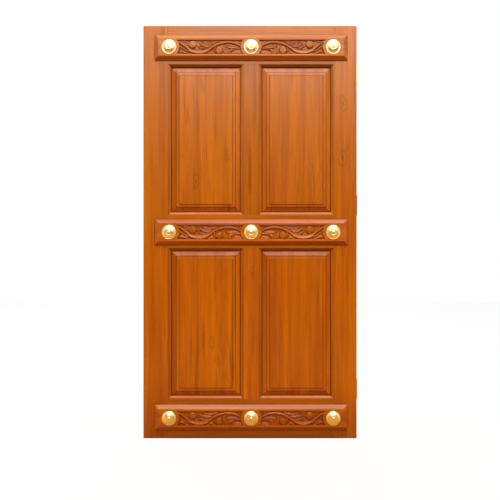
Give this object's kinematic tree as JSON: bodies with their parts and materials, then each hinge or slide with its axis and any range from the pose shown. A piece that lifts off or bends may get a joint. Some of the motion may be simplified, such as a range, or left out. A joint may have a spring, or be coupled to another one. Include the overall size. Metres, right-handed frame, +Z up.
{
  "type": "panelled front door leaf",
  "caption": "Solid teak front door leaf with raised panels, carved horizontal bands and domed brass studs, hung on lift-off butt hinges.",
  "frame": {"origin": "middle of the leaf's bottom edge, at half its thickness", "axes": "+Z up, +X to the right seen from outside, +Y towards the inside of the house; the outer face looks along -Y"},
  "size_m": [1.0718, 0.0865, 2.06],
  "materials": {
    "back_bead_teak": "satin varnish",
    "band_teak": "satin varnish",
    "hinge_brass": "polished",
    "level_bead_teak": "satin varnish",
    "panel_teak": "satin varnish",
    "rail_teak": "satin varnish",
    "stile_teak": "satin varnish",
    "stud_brass": "polished",
    "upright_bead_teak": "satin varnish",
    "wedge_teak": "satin varnish"
  },
  "bodies": {
    "frame_side": {"bottom_hinge_frame_flap": "hinge_brass", "middle_hinge_frame_flap": "hinge_brass", "top_hinge_frame_flap": "hinge_brass"},
    "leaf": {"bottom_carved_band": "band_teak", "bottom_hinge_leaf_flap": "hinge_brass", "bottom_rail": "rail_teak", "brass_studs": "stud_brass", "hinge_stile": "stile_teak", "lock_stile": "stile_teak", "lower_left_back_beads": "back_bead_teak", "lower_left_bead_bottom": "level_bead_teak", "lower_left_bead_left": "upright_bead_teak", "lower_left_bead_right": "upright_bead_teak", "lower_left_bead_top": "level_bead_teak", "lower_left_panel": "panel_teak", "lower_mullion": "stile_teak", "lower_right_back_beads": "back_bead_teak", "lower_right_bead_bottom": "level_bead_teak", "lower_right_bead_left": "upright_bead_teak", "lower_right_bead_right": "upright_bead_teak", "lower_right_bead_top": "level_bead_teak", "lower_right_panel": "panel_teak", "middle_carved_band": "band_teak", "middle_hinge_leaf_flap": "hinge_brass", "middle_rail": "rail_teak", "tenon_wedges": "wedge_teak", "top_carved_band": "band_teak", "top_hinge_leaf_flap": "hinge_brass", "top_rail": "rail_teak", "upper_left_back_beads": "back_bead_teak", "upper_left_bead_bottom": "level_bead_teak", "upper_left_bead_left": "upright_bead_teak", "upper_left_bead_right": "upright_bead_teak", "upper_left_bead_top": "level_bead_teak", "upper_left_panel": "panel_teak", "upper_mullion": "stile_teak", "upper_right_back_beads": "back_bead_teak", "upper_right_bead_bottom": "level_bead_teak", "upper_right_bead_left": "upright_bead_teak", "upper_right_bead_right": "upright_bead_teak", "upper_right_bead_top": "level_bead_teak", "upper_right_panel": "panel_teak"}
  },
  "joints": [
    {"name": "swing", "type": "hinge", "parent": "frame_side", "child": "leaf", "pos_m": [0.5333, 0.0265, 0], "axis": [0, 0, -1], "range_deg": [0, 110]}
  ]
}
